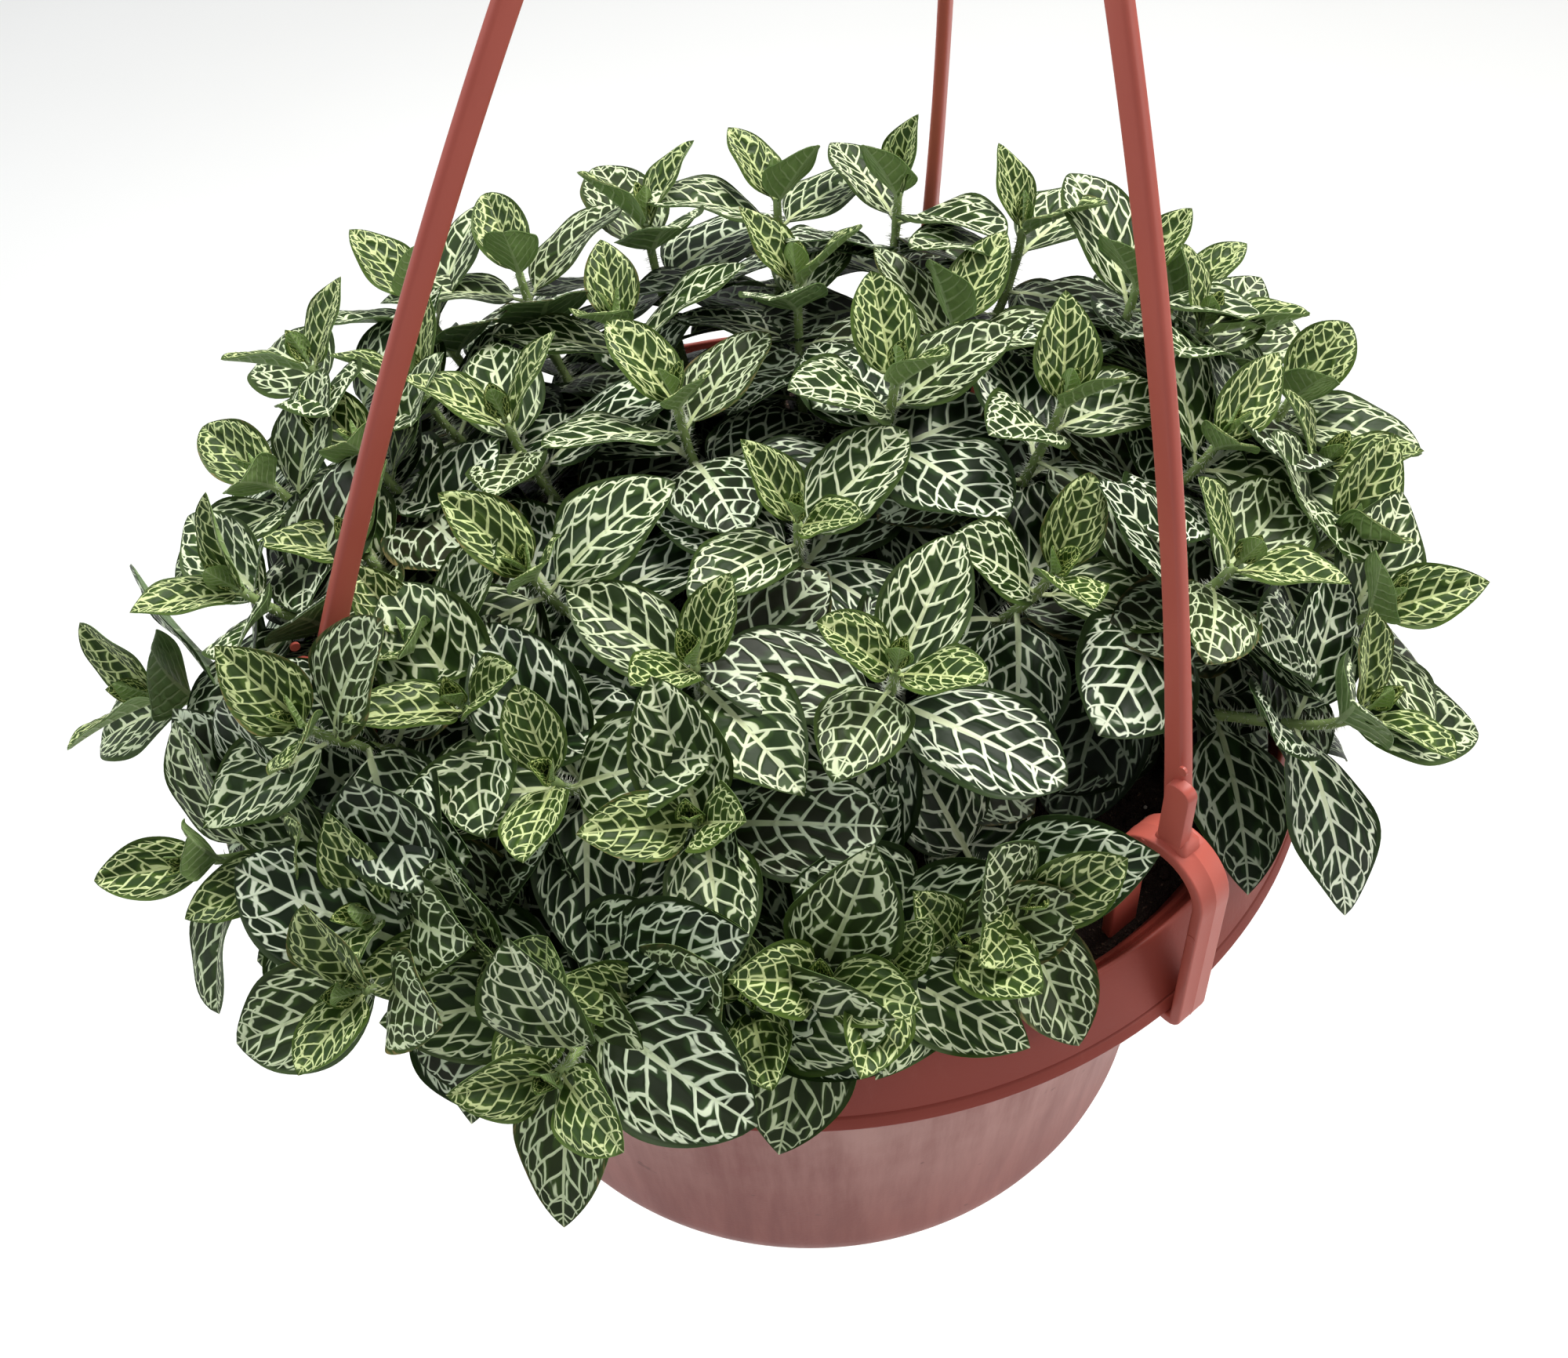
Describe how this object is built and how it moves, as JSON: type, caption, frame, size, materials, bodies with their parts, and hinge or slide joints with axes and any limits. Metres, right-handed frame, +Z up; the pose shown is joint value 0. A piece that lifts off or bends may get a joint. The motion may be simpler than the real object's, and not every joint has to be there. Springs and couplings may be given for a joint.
{
  "type": "potted nerve plant in a hanging pot",
  "caption": "Low bushy houseplant with white-veined leaves in a round plastic bowl, carried by a three-arm clip-on hanger with a hook.",
  "frame": {"origin": "middle of the pot's underside", "axes": "+Z up towards the hook; -Y is the front, the side the picture looks at"},
  "size_m": [0.3415, 0.2968, 0.55],
  "materials": {
    "pot_plastic": "terracotta-coloured polypropylene, satin, with a faint chalky bloom on the bowl",
    "hanger_plastic": "terracotta-coloured polypropylene, satin moulded finish",
    "soil": "dark peat potting mix with perlite crumbs",
    "foliage": "soft dark green leaves with a net of greenish white veins, pale hairy stems"
  },
  "bodies": {
    "root": {"pot": "pot_plastic", "soil": "soil", "arm_right": "hanger_plastic", "arm_back": "hanger_plastic", "arm_left": "hanger_plastic", "hook": "hanger_plastic", "shoot_01": "foliage", "shoot_02": "foliage", "shoot_03": "foliage", "shoot_04": "foliage", "shoot_05": "foliage", "shoot_06": "foliage", "shoot_07": "foliage", "shoot_08": "foliage", "shoot_09": "foliage", "shoot_10": "foliage", "shoot_11": "foliage", "shoot_12": "foliage", "shoot_13": "foliage", "shoot_14": "foliage", "shoot_15": "foliage", "shoot_16": "foliage", "shoot_17": "foliage", "shoot_18": "foliage", "shoot_19": "foliage", "shoot_20": "foliage", "shoot_21": "foliage", "shoot_22": "foliage", "shoot_23": "foliage", "shoot_24": "foliage", "shoot_25": "foliage", "shoot_26": "foliage", "shoot_27": "foliage", "shoot_28": "foliage", "shoot_29": "foliage", "shoot_30": "foliage", "shoot_31": "foliage", "shoot_32": "foliage", "shoot_33": "foliage", "shoot_34": "foliage", "shoot_35": "foliage", "shoot_36": "foliage", "shoot_37": "foliage", "shoot_38": "foliage", "shoot_39": "foliage", "shoot_40": "foliage", "shoot_41": "foliage", "shoot_42": "foliage", "shoot_43": "foliage", "shoot_44": "foliage", "shoot_45": "foliage", "shoot_46": "foliage", "shoot_47": "foliage", "shoot_48": "foliage", "shoot_49": "foliage", "shoot_50": "foliage", "shoot_51": "foliage", "shoot_52": "foliage", "shoot_53": "foliage", "shoot_54": "foliage"}
  },
  "joints": []
}
